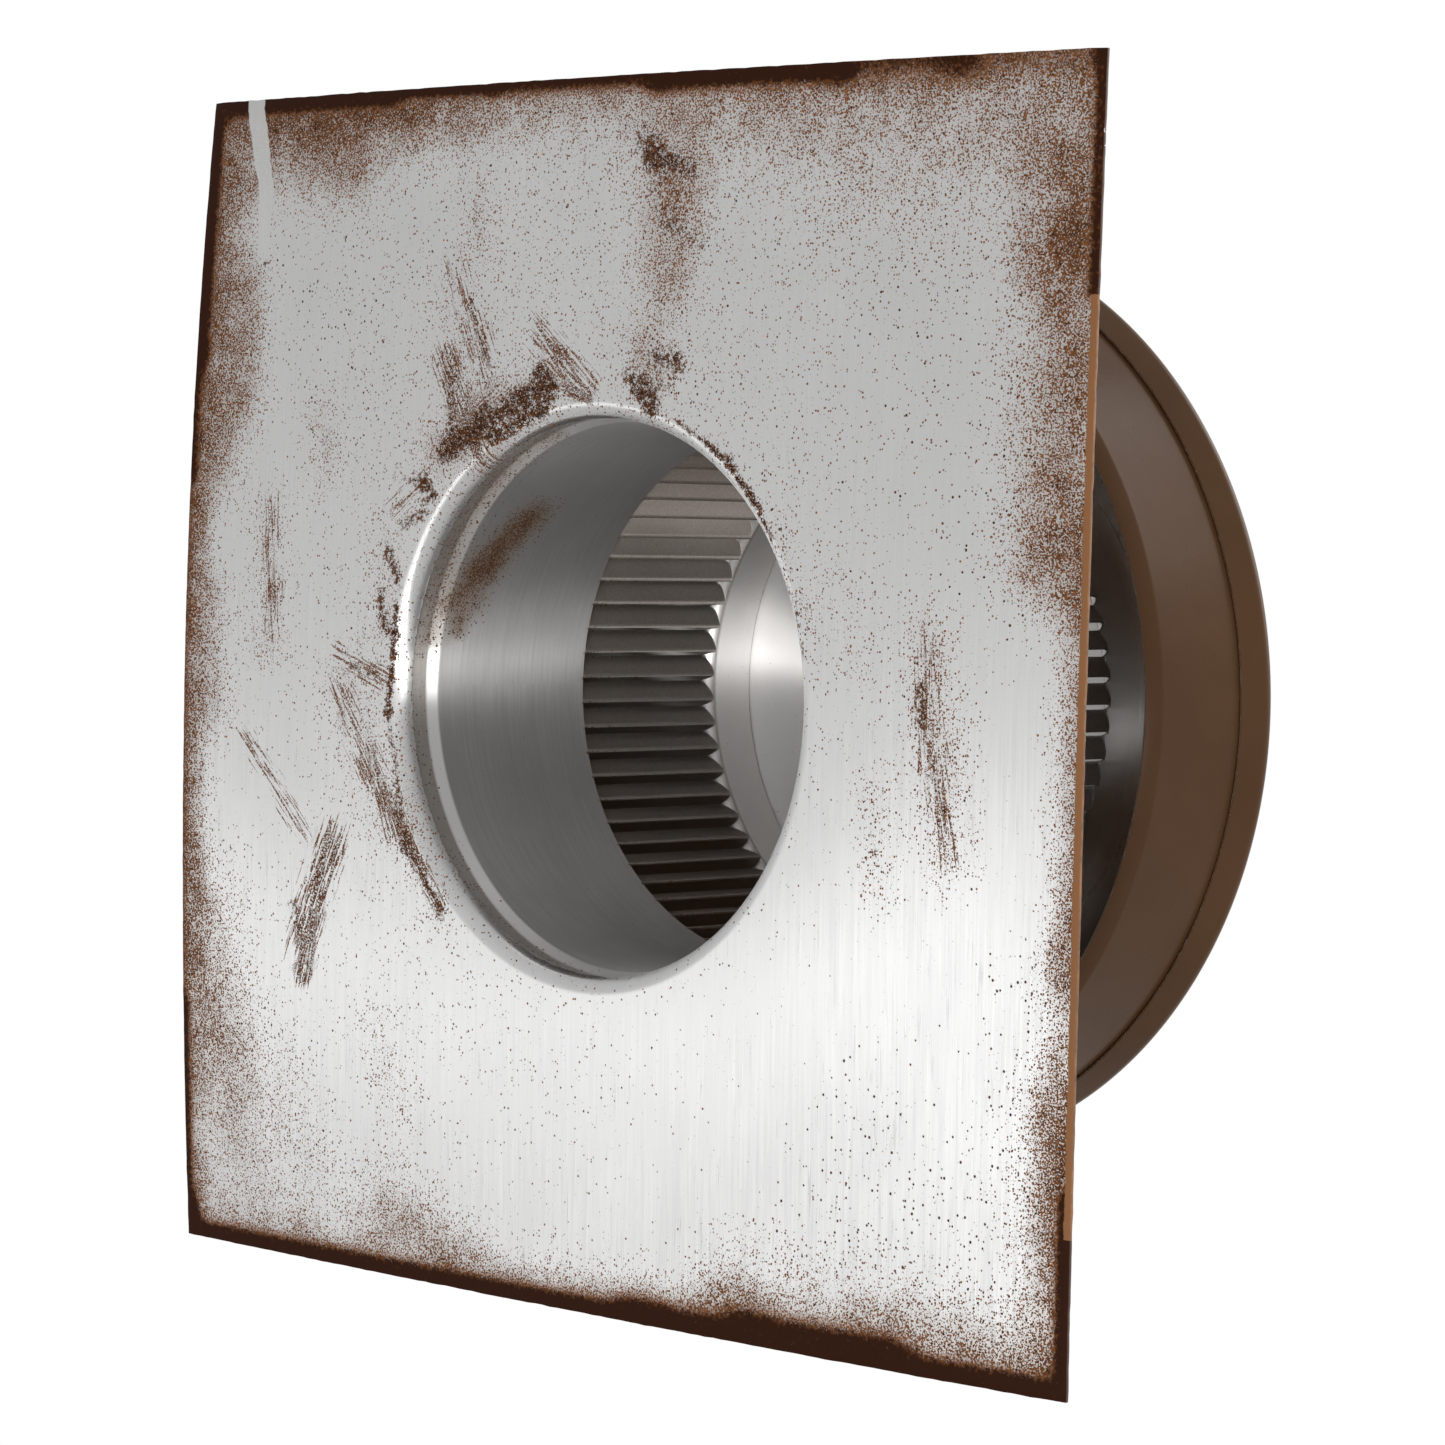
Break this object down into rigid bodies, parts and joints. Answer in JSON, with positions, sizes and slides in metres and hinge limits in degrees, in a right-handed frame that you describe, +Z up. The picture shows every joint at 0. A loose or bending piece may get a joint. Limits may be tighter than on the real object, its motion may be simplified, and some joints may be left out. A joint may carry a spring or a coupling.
{
  "type": "static roof vent",
  "caption": "Round static roof vent: square flashing, throat tube with a ring of lanced louvres, open-bottomed wind band and a shallow domed cap with a turned rim.",
  "frame": {"origin": "centre of the throat, in the plane of the flashing's underside", "axes": "+Z up along the vent's axis, from the roof deck to the cap; X and Y along the flashing's sides"},
  "size_m": [0.338, 0.338, 0.1547],
  "materials": {
    "flashing_sheet": "brushed bare underside with brown overspray, brown paint on top",
    "tube_sheet": "brushed bare sheet",
    "brown_band": "semi-gloss brown paint on aluminium sheet",
    "brown_cap": "semi-gloss brown paint outside, bare spun aluminium under"
  },
  "bodies": {
    "root": {"flashing": "flashing_sheet", "louvred_tube": "tube_sheet", "wind_band": "brown_band", "cap": "brown_cap"}
  },
  "joints": []
}
